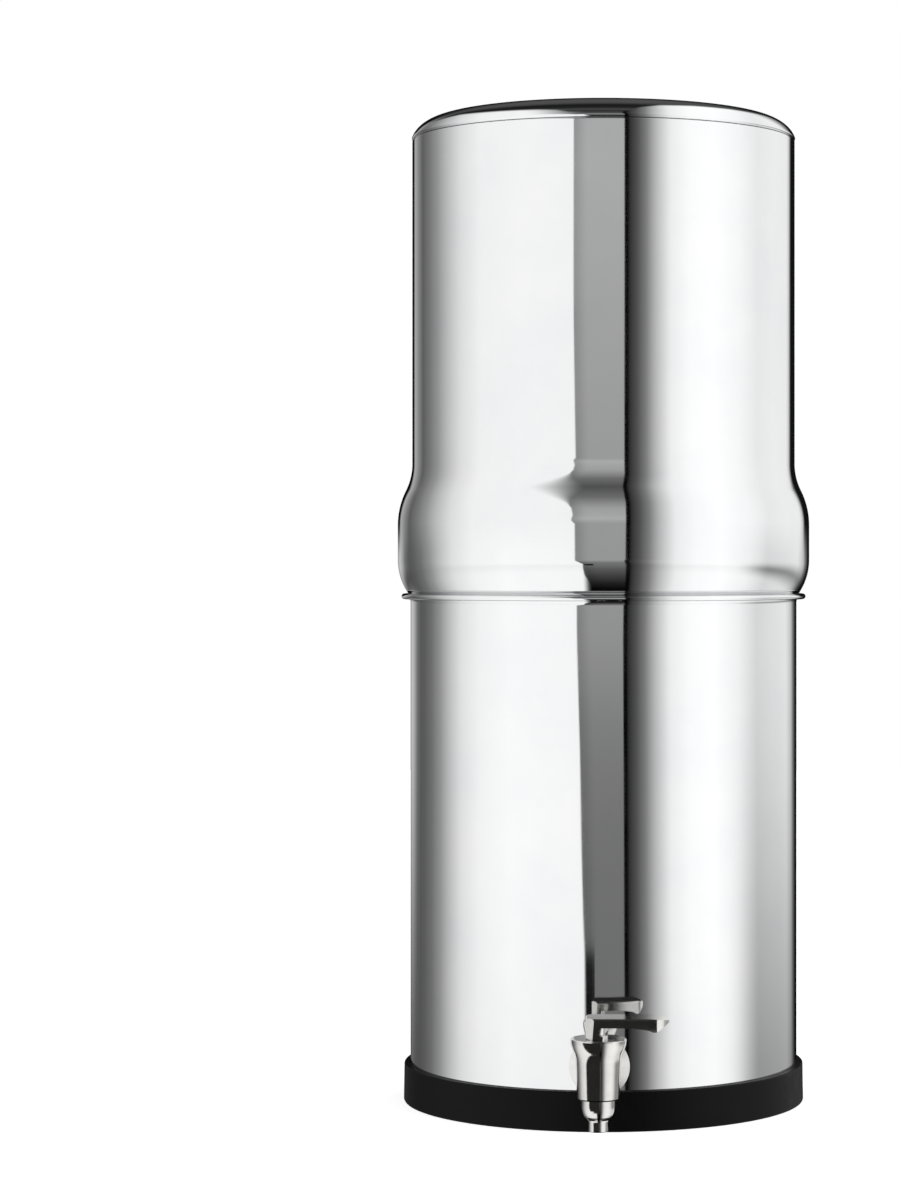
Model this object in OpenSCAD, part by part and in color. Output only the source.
// Gravity water filter: two stacked stainless chambers, lid, rubber base ring and lever tap.
// Origin: centre of the base ring's underside. +Z is up and the tap faces -Y. Millimetres.

/* [Chambers] */
// Outer diameter of the lower chamber's straight wall
lower_d = 234.6; // [233:0.2:236]
// Outer diameter of the upper chamber's straight wall
upper_d = 232.4; // [231.4:0.2:233.4]
// Largest diameter of the bulge round the foot of the upper chamber
bulge_d = 250; // [246:0.5:252]
// Sheet thickness of the chambers and the lid
sheet_t = 1; // [0.8:0.1:1.2]
// Height of the lower chamber's rolled rim, where the two chambers meet
seam_z = 306.8; // [300:0.2:315]
// Height of the upper chamber's rim
rim_z = 581.4; // [560:0.2:600]

/* [Base ring] */
// Outer diameter of the rubber ring at its foot
ring_d = 242.6; // [241:0.2:245]
// Height of the rubber ring
ring_h = 23; // [18:0.5:28]
// Thickness of the lip under the lower chamber
ring_lip_t = 3; // [2:0.5:5]

/* [Lid] */
// Diameter over the lid's edge
lid_d = 233; // [232.4:0.2:235]
// Width of the rounded shoulder
lid_shoulder_w = 24; // [16:1:30]
// Height of the rounded shoulder
lid_shoulder_h = 10; // [8:0.2:12]
// Slope of the crown where it leaves the shoulder
lid_slope = 0.11; // [0.06:0.01:0.16]

/* [Filter elements] */
// Diameter of a filter element
filter_d = 60; // [50:1:64]
// Length of a filter element above its base cap
filter_len = 200; // [150:5:230]
// Distance of the four floor holes from the middle
hole_circle_r = 58; // [52:1:64]

/* [Tap] */
// Distance from the chambers' axis to the tap's vertical axis
tap_reach = 152; // [150:0.5:156]
// Height of the shank through the lower chamber's wall
shank_z = 38; // [37:0.5:42]
// Length of the lever from the stem's axis to the tip of the paddle
lever_reach = 40.2; // [34:0.1:44]
// Width of the lever over its cheeks
lever_w = 22; // [19:0.5:24]
// Lift of the lever from closed to fully open, in degrees
lever_lift = 22; // [10:1:22]
// Rise of the stem for each radian that the lever turns
cam_r = 3.5; // [2.5:0.1:3.5]

/* [Hidden] */
$fn = 96;

steel = "#c9cacb";
rubber = "#1b1b1c";
white_silicone = "#d8d8d4";
carbon = "#242426";
black_plastic = "#2b2b2d";

// Clearance between faces that only nearly touch
gap = 0.1;
// Radial clearance of a running fit
run_gap = 0.05;

lower_r = lower_d / 2;
upper_r = upper_d / 2;
bulge_r = bulge_d / 2;
ring_r = ring_d / 2;
lid_r = lid_d / 2;

// Lower chamber: floor, foot corner, flare under the rolled rim
floor_z = ring_lip_t;
foot_corner_r = 6;
rim_bead_r = 1.65;
flare_r = 4;
flare_z = seam_z - flare_r - 1.3;

// Upper chamber: nest section inside the lower one, then two S-curves that make the bulge
nest_r = lower_r - sheet_t - 0.7;
nest_corner_r = 8;
nest_floor_z = seam_z - 21.8;
under_r = 36;
under_blend_r = 6;
over_r = 47;
over_blend_r = 36.5;
bulge_low_z = seam_z + 20.4;
bulge_high_z = bulge_low_z + 21;
under_a = s_angle(bulge_r - nest_r, under_r + under_blend_r);
over_a = s_angle(bulge_r - upper_r, over_r + over_blend_r);
nest_top_z = bulge_low_z - (under_r + under_blend_r) * sin(under_a);
wall_low_z = bulge_high_z + (over_r + over_blend_r) * sin(over_a);
upper_bead_r = 1;

// Lid: hem over the rim, locating skirt inside it
hem_h = 3.5;
hem_z = rim_z + gap;
shoulder_z = hem_z + hem_h;
shoulder_end_a = atan(lid_shoulder_h / (lid_slope * lid_shoulder_w));
crown_r0 = lid_r - lid_shoulder_w * (1 - cos(shoulder_end_a));
crown_z0 = shoulder_z + lid_shoulder_h * sin(shoulder_end_a);
crown_sphere_r = crown_r0 / sin(atan(lid_slope));
crown_a = atan(lid_slope);
skirt_r = upper_r - sheet_t - 1.6;
skirt_h = 6;

// Filter elements, blanking plugs and their fasteners
floor_hole_r = 6.2;
thread_r = 5.9;
thread_chamfer = 0.6;
washer_t = 2;
filter_washer_r = 15;
plug_washer_r = 13;
cap_h = 8;
cap_lip_h = 5;
cap_lip_w = 2;
cap_thread_len = 32;
cap_outlet_r = 3.5;
filter_bore_r = 11;
filter_end_t = 20;
filter_edge_r = 5;
element_floor_z = nest_floor_z + sheet_t;
nut_h = 8;
nut_r = 12;
nut_collar_r = 13.5;
nut_collar_h = 5.6;
wing_t = 3.5;
wing_reach = 16;
plug_thread_len = 20;
plug_head_h = 5;
plug_edge_r = 2;

// Seals, washer and nut on the shank, from the wall inwards
seal_r = 13;
outer_seal_depth = 7;
inner_seal_depth = 6;
shank_washer_r = 12.5;
shank_washer_t = 1.2;
back_nut_r = 13;
back_nut_h = 7;

// Tap, on its own vertical axis
barrel_low_z = 24.4;
barrel_top_z = shank_z + 6.9;
barrel_low_r = 12.1;
barrel_top_r = 12.8;
collar_thread_r = 10.4;
thread_top_z = shank_z + 15;
valve_r = 8;
seat_z = shank_z - 7;
seat_hole_r = 4.5;
socket_r = 7.5;
socket_top_z = 28.6;
passage_r = 4;
shank_r = 7.9;
flange_r = 17.4;
flange_edge_t = 0.9;
flange_back = lower_r + 4.5;
flange_front = flange_back + 3.9;
neck_r = 6.8;
neck_fillet_r = 3;
shank_end = lower_r - 17.3;

// Bonnet and stem
bonnet_top_z = shank_z + 20.6;
bonnet_r = 15.9;
bonnet_web_z = shank_z + 17;
flare_curve_r = 14.4;
flare_a = s_angle(bonnet_r - barrel_top_r, 2 * flare_curve_r);
bonnet_blend_z = barrel_top_z + 2 * flare_curve_r * sin(flare_a);
stem_r = 3.95;
peg_r = 2.5;
cup_r = 6.6;
collar_r = 5.3;
collar_h = 1.8;
spring_seat_r = 6.8;
spring_seat_t = 2;
spring_seat_z = shank_z;
spring_wire_r = 0.5;
spring_r = 5.6;
spring_turns = 6;

// Lever: the pin carries it, and its heel rolls on the bonnet
lever_foot_z = bonnet_top_z + gap;
pin_z = shank_z + 28.6;
pin_r = 1.25;
heel_h = pin_z - lever_foot_z;
tongue_r = 2.6;
plate_low_z = pin_z - 1;
plate_top_z = pin_z + 4.1;
tail_x = -7;
facet = 4.7;
foot_x = 0.7;
droop_z = pin_z - 3.4;
droop_x = lever_reach - 8.7;
high_x = 28;
tip_drop = 1.2;
tip_curve_r = 54;
tip_curve_a = 90 - asin((lever_reach - 0.8 - high_x) / tip_curve_r);
fork_gap = 8.4;
foot_gap = 11.2;
slot_end_x = 6.6;
side_draft = 0.9;
top_r = 1.4;

// Spout
spout_top_r = 9.95;
spout_neck_r = 5.65;
spout_bore_r = 4.2;
nozzle_low_z = 6.2;
nozzle_top_z = 11.6;
bowl_r = 10.6;
bowl_blend_r = 2;
bowl_a = s_angle(spout_top_r - spout_neck_r, bowl_r + bowl_blend_r);
bowl_top_z = nozzle_top_z + (bowl_r + bowl_blend_r) * sin(bowl_a);

// ---- Curves ----

// Turn of each half of an S-curve that steps sideways by d, where s is the sum of its two radii
function s_angle(d, s) = acos(1 - d / s);

// Points on an arc about c
function arc(c, r, a0, a1, n = 12) =
    [for (i = [0:n]) let (a = a0 + (a1 - a0) * i / n) c + r * [cos(a), sin(a)]];

function reverse(list) = [for (i = [len(list) - 1:-1:0]) list[i]];

// Cross-section of a shell: the outline at offset 0, and back along it at offset t
module shell_section(outer, inner) {
    polygon(concat(outer, reverse(inner)));
}

module at_tap() {
    translate([0, -tap_reach, 0]) children();
}

// Local +Z becomes -Y at the shank's height, so local z is the distance in front of the axis
module along_shank() {
    translate([0, 0, shank_z]) rotate([90, 0, 0]) children();
}

module ring(r_out, r_in, h) {
    difference() {
        cylinder(r = r_out, h = h);
        translate([0, 0, -1]) cylinder(r = r_in, h = h + 2);
    }
}

module at_hole(i) {
    rotate([0, 0, i * 90]) translate([hole_circle_r, 0, 0]) children();
}

// ---- Chambers, lid and base ----

// Outline of the lower chamber from the middle of its floor to the rim, moved inwards by o
function lower_outline(o) = concat(
    [[0, floor_z + o]],
    arc([lower_r - foot_corner_r, floor_z + foot_corner_r], foot_corner_r - o, -90, 0, 8),
    arc([lower_r + flare_r, flare_z], flare_r + o, 180, 90, 10));

module lower_chamber() {
    color(steel) difference() {
        rotate_extrude() {
            shell_section(lower_outline(0), lower_outline(sheet_t));
            translate([lower_r + flare_r - 0.15, seam_z - rim_bead_r]) circle(rim_bead_r, $fn = 32);
        }
        along_shank() translate([0, 0, lower_r - 10]) cylinder(r = shank_r + 0.3, h = 20);
    }
}

// Outline of the upper chamber from the middle of its floor to the rim, moved inwards by o
function upper_outline(o) = concat(
    [[0, nest_floor_z + o]],
    arc([nest_r - nest_corner_r, nest_floor_z + nest_corner_r], nest_corner_r - o, -90, 0, 8),
    arc([nest_r + under_blend_r, nest_top_z], under_blend_r + o, 180, 180 - under_a, 6),
    arc([bulge_r - under_r, bulge_low_z], under_r - o, -under_a, 0, 14),
    arc([bulge_r - over_r, bulge_high_z], over_r - o, 0, over_a, 10),
    arc([upper_r + over_blend_r, wall_low_z], over_blend_r + o, 180 + over_a, 180, 10),
    [[upper_r - o, rim_z - upper_bead_r]]);

module upper_chamber() {
    color(steel) difference() {
        rotate_extrude() {
            shell_section(upper_outline(0), upper_outline(sheet_t));
            translate([upper_r - upper_bead_r, rim_z - upper_bead_r]) circle(upper_bead_r, $fn = 24);
        }
        for (i = [0:3]) at_hole(i) translate([0, 0, nest_floor_z - 5]) cylinder(r = floor_hole_r, h = 10);
    }
}

// Top surface of the lid from its edge to the middle, moved inwards by o
function lid_outline(o) = concat(
    [for (i = [0:10]) let (a = shoulder_end_a * i / 10)
        [lid_r - lid_shoulder_w + (lid_shoulder_w - o) * cos(a), shoulder_z + (lid_shoulder_h - o) * sin(a)]],
    [for (i = [1:9]) let (a = crown_a * (1 - i / 9))
        [crown_sphere_r * sin(a), crown_z0 - o + crown_sphere_r * (cos(a) - cos(crown_a))]]);

module lid() {
    color(steel) rotate_extrude() polygon(concat(
        lid_outline(0),
        reverse(lid_outline(sheet_t)),
        [[skirt_r - sheet_t, shoulder_z], [skirt_r - sheet_t, hem_z - skirt_h],
            [skirt_r, hem_z - skirt_h], [skirt_r, hem_z], [lid_r - 0.8, hem_z], [lid_r, hem_z + 0.8]]));
}

module base_ring() {
    inner_r = lower_r + 0.2;
    corner = [lower_r - foot_corner_r, floor_z + foot_corner_r];
    corner_r = foot_corner_r + 0.2;
    color(rubber) rotate_extrude() polygon(concat(
        [[corner[0] - 8, 0]],
        arc([ring_r - 1.2, 1.2], 1.2, -90, 0, 6),
        arc([ring_r - 1.3, ring_h - 1], 1, 0, 90, 6),
        [[inner_r, ring_h]],
        arc(corner, corner_r, 0, -asin(foot_corner_r / corner_r), 8),
        [[corner[0] - 8, ring_lip_t]]));
}

// ---- Filter elements and blanking plugs ----

module filter_element(i) {
    base_z = element_floor_z + washer_t + cap_h;
    color(carbon) at_hole(i) translate([0, 0, base_z]) difference() {
        rotate_extrude() polygon(concat(
            [[0, 0], [filter_d / 2, 0]],
            arc([filter_d / 2 - filter_edge_r, filter_len - filter_edge_r], filter_edge_r, 0, 90, 6),
            [[0, filter_len]]));
        translate([0, 0, -1]) cylinder(r = filter_bore_r, h = filter_len - filter_end_t + 1);
    }
}

module filter_cap(i) {
    cap_r = filter_d / 2 + cap_lip_w;
    color(black_plastic) at_hole(i) translate([0, 0, element_floor_z + washer_t]) difference() {
        rotate_extrude() polygon([[0, -cap_thread_len], [thread_r - thread_chamfer, -cap_thread_len],
            [thread_r, thread_chamfer - cap_thread_len], [thread_r, 0], [cap_r - 1, 0], [cap_r, 1],
            [cap_r, cap_h + cap_lip_h], [filter_d / 2, cap_h + cap_lip_h],
            [filter_d / 2, cap_h], [0, cap_h]]);
        translate([0, 0, -cap_thread_len - 1]) cylinder(r = cap_outlet_r, h = cap_thread_len + cap_h + 2);
    }
}

module floor_washer(i, r) {
    color(white_silicone) at_hole(i) translate([0, 0, element_floor_z]) ring(r, thread_r, washer_t);
}

module wing_nut(i) {
    color(white_silicone) at_hole(i) translate([0, 0, nest_floor_z - nut_h]) difference() {
        union() {
            cylinder(r = nut_r, h = nut_h, $fn = 64);
            translate([0, 0, nut_h - nut_collar_h]) cylinder(r = nut_collar_r, h = nut_collar_h);
            for (side = [0, 180]) rotate([0, 0, side]) translate([0, wing_t / 2, 0])
                rotate([90, 0, 0]) linear_extrude(wing_t) {
                    translate([nut_r - 4, 0]) square([wing_reach - nut_r + 4, nut_h - 1]);
                    translate([wing_reach, (nut_h - 1) / 2]) circle((nut_h - 1) / 2, $fn = 32);
                }
        }
        translate([0, 0, -1]) cylinder(r = thread_r, h = nut_h + 2);
    }
}

module blank_plug(i) {
    color(white_silicone) at_hole(i) translate([0, 0, element_floor_z + washer_t])
        rotate_extrude() polygon(concat(
            [[0, -plug_thread_len], [thread_r - thread_chamfer, -plug_thread_len],
                [thread_r, thread_chamfer - plug_thread_len], [thread_r, 0], [plug_washer_r, 0]],
            arc([plug_washer_r - plug_edge_r, plug_head_h - plug_edge_r], plug_edge_r, 0, 90, 5),
            [[0, plug_head_h]]));
}

module plug_nut(i) {
    color(white_silicone) at_hole(i) translate([0, 0, nest_floor_z - nut_h]) difference() {
        cylinder(r = nut_r, h = nut_h, $fn = 6);
        translate([0, 0, -1]) cylinder(r = thread_r, h = nut_h + 2);
    }
}

// ---- Tap: fixed parts ----

module tap_body() {
    color(steel) difference() {
        union() {
            at_tap() rotate_extrude() polygon([[0, barrel_low_z], [barrel_low_r - 0.8, barrel_low_z],
                [barrel_low_r, barrel_low_z + 0.8], [barrel_top_r, barrel_top_z],
                [collar_thread_r, barrel_top_z], [collar_thread_r, thread_top_z], [0, thread_top_z]]);
            along_shank() rotate_extrude() polygon(concat(
                [[0, shank_end], [shank_r - 0.8, shank_end], [shank_r, shank_end + 0.8],
                    [shank_r, flange_back], [flange_r, flange_back], [flange_r, flange_back + flange_edge_t]],
                arc([neck_r + neck_fillet_r, flange_front + neck_fillet_r], neck_fillet_r, -90, -180, 6),
                [[neck_r, tap_reach - 7], [0, tap_reach - 7]]));
        }
        at_tap() {
            translate([0, 0, seat_z]) cylinder(r = valve_r, h = 40);
            translate([0, 0, barrel_low_z]) cylinder(r = seat_hole_r, h = 20);
            translate([0, 0, barrel_low_z - 1]) cylinder(r = socket_r, h = socket_top_z - barrel_low_z + 1);
        }
        along_shank() translate([0, 0, shank_end - 1]) cylinder(r = passage_r, h = tap_reach - shank_end - 3);
    }
    color(steel) at_tap() translate([0, 0, seat_z]) ring(seat_hole_r + 1.2, seat_hole_r, 0.6);
}

module tap_bonnet() {
    color(steel) at_tap() difference() {
        rotate_extrude() polygon(concat(
            [[0, barrel_top_z]],
            arc([barrel_top_r + flare_curve_r, barrel_top_z], flare_curve_r, 180, 180 - flare_a, 8),
            arc([bonnet_r - flare_curve_r, bonnet_blend_z], flare_curve_r, -flare_a, 0, 8),
            arc([bonnet_r - 0.7, bonnet_top_z - 0.7], 0.7, 0, 90, 4),
            [[0, bonnet_top_z]]));
        translate([0, 0, barrel_top_z - 1]) cylinder(r = collar_thread_r, h = thread_top_z - barrel_top_z + 1);
        translate([0, 0, barrel_top_z - 1]) cylinder(r = valve_r, h = bonnet_web_z - barrel_top_z + 1);
        translate([0, 0, bonnet_web_z - 1]) cylinder(r = stem_r + run_gap, h = 10);
        translate([0, 0, bonnet_web_z + 0.9]) cylinder(r = stem_r + run_gap + 1.85, h = 1.8);
    }
}

module tap_spout() {
    color(steel) at_tap() difference() {
        rotate_extrude() polygon(concat(
            [[0, nozzle_low_z], [spout_neck_r - 0.3, nozzle_low_z], [spout_neck_r, nozzle_low_z + 0.3]],
            arc([spout_neck_r + bowl_blend_r, nozzle_top_z], bowl_blend_r, 180, 180 - bowl_a, 8),
            arc([spout_top_r - bowl_r, bowl_top_z], bowl_r, -bowl_a, 0, 8),
            [[spout_top_r, barrel_low_z], [socket_r, barrel_low_z], [socket_r, socket_top_z], [0, socket_top_z]]));
        translate([0, 0, nozzle_low_z - 1]) cylinder(r = spout_bore_r, h = 30);
    }
}

module stem_o_ring() {
    minor = 0.9;
    color(rubber) at_tap() translate([0, 0, bonnet_web_z + 1.8])
        rotate_extrude() translate([stem_r + run_gap + minor, 0]) circle(minor, $fn = 24);
}

// Silicone ring between the flange and the wall, with a back that fits the round wall
module outer_seal() {
    color(rubber) difference() {
        along_shank() translate([0, 0, flange_back - outer_seal_depth])
            ring(seal_r, shank_r, outer_seal_depth);
        cylinder(r = lower_r, h = 100, $fn = 180);
    }
}

module inner_seal() {
    color(rubber) intersection() {
        along_shank() translate([0, 0, lower_r - inner_seal_depth]) ring(seal_r, shank_r, inner_seal_depth);
        cylinder(r = lower_r - sheet_t, h = 100, $fn = 180);
    }
}

module shank_washer() {
    color(steel) along_shank() translate([0, 0, lower_r - inner_seal_depth - shank_washer_t])
        ring(shank_washer_r, shank_r, shank_washer_t);
}

module back_nut() {
    nut_front = lower_r - inner_seal_depth - shank_washer_t;
    color(steel) along_shank() translate([0, 0, nut_front - back_nut_h]) difference() {
        cylinder(r = back_nut_r, h = back_nut_h, $fn = 6);
        translate([0, 0, -1]) cylinder(r = shank_r, h = back_nut_h + 2);
    }
}

// ---- Tap: moving parts ----

// Rod with a spring seat and a cup peg below, and a flat tongue for the pin above
module tap_stem() {
    tongue_z = plate_low_z - 1.2;
    color(steel) at_tap() difference() {
        union() {
            translate([0, 0, seat_z + 1.8]) cylinder(r = peg_r, h = spring_seat_z - seat_z);
            translate([0, 0, spring_seat_z - spring_seat_t]) cylinder(r = spring_seat_r, h = spring_seat_t);
            translate([0, 0, spring_seat_z - 1]) cylinder(r = stem_r, h = tongue_z - spring_seat_z + 1);
            intersection() {
                translate([0, 0, tongue_z - 1]) cylinder(r = stem_r, h = 10);
                union() {
                    translate([-tongue_r, -5, tongue_z - 1]) cube([2 * tongue_r, 10, pin_z - tongue_z + 1]);
                    translate([0, 5, pin_z]) rotate([90, 0, 0]) cylinder(r = tongue_r, h = 10);
                }
            }
        }
        translate([0, 10, pin_z]) rotate([90, 0, 0]) cylinder(r = pin_r + run_gap, h = 20);
    }
}

module seat_cup() {
    color(white_silicone) at_tap() difference() {
        rotate_extrude() polygon([[0, seat_z + 0.7], [cup_r - 1, seat_z + 0.7], [cup_r, seat_z + 1.9],
            [cup_r, spring_seat_z - spring_seat_t], [0, spring_seat_z - spring_seat_t]]);
        translate([0, 0, seat_z + 1.8]) cylinder(r = peg_r, h = 10);
    }
}

// Wire swept round a helix: a ring of points at each step, and a flat cap at each end
module return_spring() {
    sides = 8;
    steps = spring_turns * 16;
    low = spring_seat_z + spring_wire_r;
    rise = bonnet_web_z - spring_wire_r - low;
    pts = [for (i = [0:steps], s = [0:sides - 1])
        let (turn = 360 * spring_turns * i / steps, a = 360 * s / sides,
            r = spring_r + spring_wire_r * cos(a))
        [r * cos(turn), r * sin(turn), low + rise * i / steps + spring_wire_r * sin(a)]];
    bands = [for (i = [0:steps - 1], s = [0:sides - 1]) let (n = (s + 1) % sides)
        [i * sides + s, i * sides + n, (i + 1) * sides + n, (i + 1) * sides + s]];
    ends = [[for (s = [sides - 1:-1:0]) s], [for (s = [0:sides - 1]) steps * sides + s]];
    color(steel) at_tap() polyhedron(pts, concat(bands, ends));
}

module stem_collar() {
    color(steel) at_tap() translate([0, 0, bonnet_top_z]) ring(collar_r, stem_r + run_gap, collar_h);
}

// Heel as an involute about the pin, so that it stays on the bonnet while the stem rises evenly
function heel(n = 8) = [for (i = [n:-1:0])
    let (a = lever_lift * i / n, drop = heel_h + cam_r * a * PI / 180)
    [-cam_r * cos(a) - drop * sin(a), pin_z + cam_r * sin(a) - drop * cos(a)]];

// Side view of the lever, x along it and z up
module lever_side() {
    polygon(concat(
        [[tail_x, plate_top_z - 1], [tail_x, lever_foot_z + 1.9]],
        heel(),
        [[foot_x, lever_foot_z]],
        arc([foot_x + 1.2, plate_low_z - 1.2], 1.2, 180, 90, 5),
        arc([13, plate_low_z - 90], 90, 90, 80, 6),
        arc([droop_x, droop_z + 5], 5, -98, -54, 6),
        arc([lever_reach - 0.8, plate_top_z - tip_drop - 0.8], 0.8, -30, 60, 4),
        arc([high_x, plate_top_z - tip_curve_r], tip_curve_r, tip_curve_a, 90, 6),
        arc([tail_x + 1, plate_top_z - 1], 1, 90, 180, 4)));
}

// Plan of the lever: a tail with 45 degree facets, straight sides and a round tip
module lever_plan() {
    half_w = lever_w / 2 + 0.1;
    tip_r = half_w + 0.5;
    polygon(concat(
        [[tail_x, facet - half_w], [tail_x + facet, -half_w]],
        arc([lever_reach - tip_r, 0], tip_r, -90, 90, 24),
        [[tail_x + facet, half_w], [tail_x, half_w - facet]]));
}

// Cross-section of the lever, with rounded top edges and sides that draft inwards to the feet
module lever_section() {
    half_w = lever_w / 2 + 0.1;
    foot_w = half_w - side_draft;
    polygon(concat(
        [[-foot_w, lever_foot_z - 1], [foot_w, lever_foot_z - 1]],
        arc([half_w - top_r, plate_top_z - top_r], top_r, 0, 90, 6),
        arc([top_r - half_w, plate_top_z - top_r], top_r, 90, 180, 6)));
}

module lever() {
    pocket_r = lever_w / 2 - 1.9;
    pocket_low_x = slot_end_x + 3;
    pocket_high_x = lever_reach - 12.6;
    color(steel) at_tap() difference() {
        intersection() {
            translate([0, 20, 0]) rotate([90, 0, 0]) linear_extrude(40) lever_side();
            translate([0, 0, lever_foot_z - 1]) linear_extrude(20) lever_plan();
            translate([tail_x - 1, 0, 0]) rotate([90, 0, 90])
                linear_extrude(lever_reach - tail_x + 2) lever_section();
        }
        // Fork for the stem's tongue, open towards the tail
        translate([tail_x - 1, -fork_gap / 2, lever_foot_z - 1])
            cube([slot_end_x - tail_x + 1, fork_gap, pin_z + tongue_r + 0.3 - lever_foot_z + 1]);
        // Wider gap between the feet, round the stem collar
        translate([tail_x - 1, -foot_gap / 2, lever_foot_z - 1])
            cube([slot_end_x - tail_x + 1, foot_gap, plate_low_z - 3.3 - lever_foot_z + 1]);
        // Hollow under the paddle
        translate([0, 0, lever_foot_z - 1]) linear_extrude(pin_z + 1.6 - lever_foot_z + 1) union() {
            translate([pocket_low_x, -pocket_r]) square([pocket_high_x - pocket_low_x, 2 * pocket_r]);
            translate([pocket_high_x, 0]) circle(pocket_r + 0.6);
        }
        translate([0, 20, pin_z]) rotate([90, 0, 0]) cylinder(r = pin_r, h = 40);
    }
}

module lever_pin() {
    color(steel) at_tap() translate([0, lever_w / 2 - gap, pin_z]) rotate([90, 0, 0])
        cylinder(r = pin_r, h = lever_w - 2 * gap);
}

lid();
upper_chamber();
lower_chamber();
base_ring();
filter_element(0);  // filter_1
filter_cap(0);  // filter_cap_1
floor_washer(0, filter_washer_r);  // filter_washer_1
wing_nut(0);  // filter_nut_1
filter_element(2);  // filter_2
filter_cap(2);  // filter_cap_2
floor_washer(2, filter_washer_r);  // filter_washer_2
wing_nut(2);  // filter_nut_2
blank_plug(1);  // blank_plug_1
floor_washer(1, plug_washer_r);  // plug_washer_1
plug_nut(1);  // plug_nut_1
blank_plug(3);  // blank_plug_2
floor_washer(3, plug_washer_r);  // plug_washer_2
plug_nut(3);  // plug_nut_2
tap_body();
tap_bonnet();
tap_spout();
tap_stem();
seat_cup();
return_spring();
stem_o_ring();
stem_collar();
lever();
lever_pin();
outer_seal();
inner_seal();
shank_washer();
back_nut();
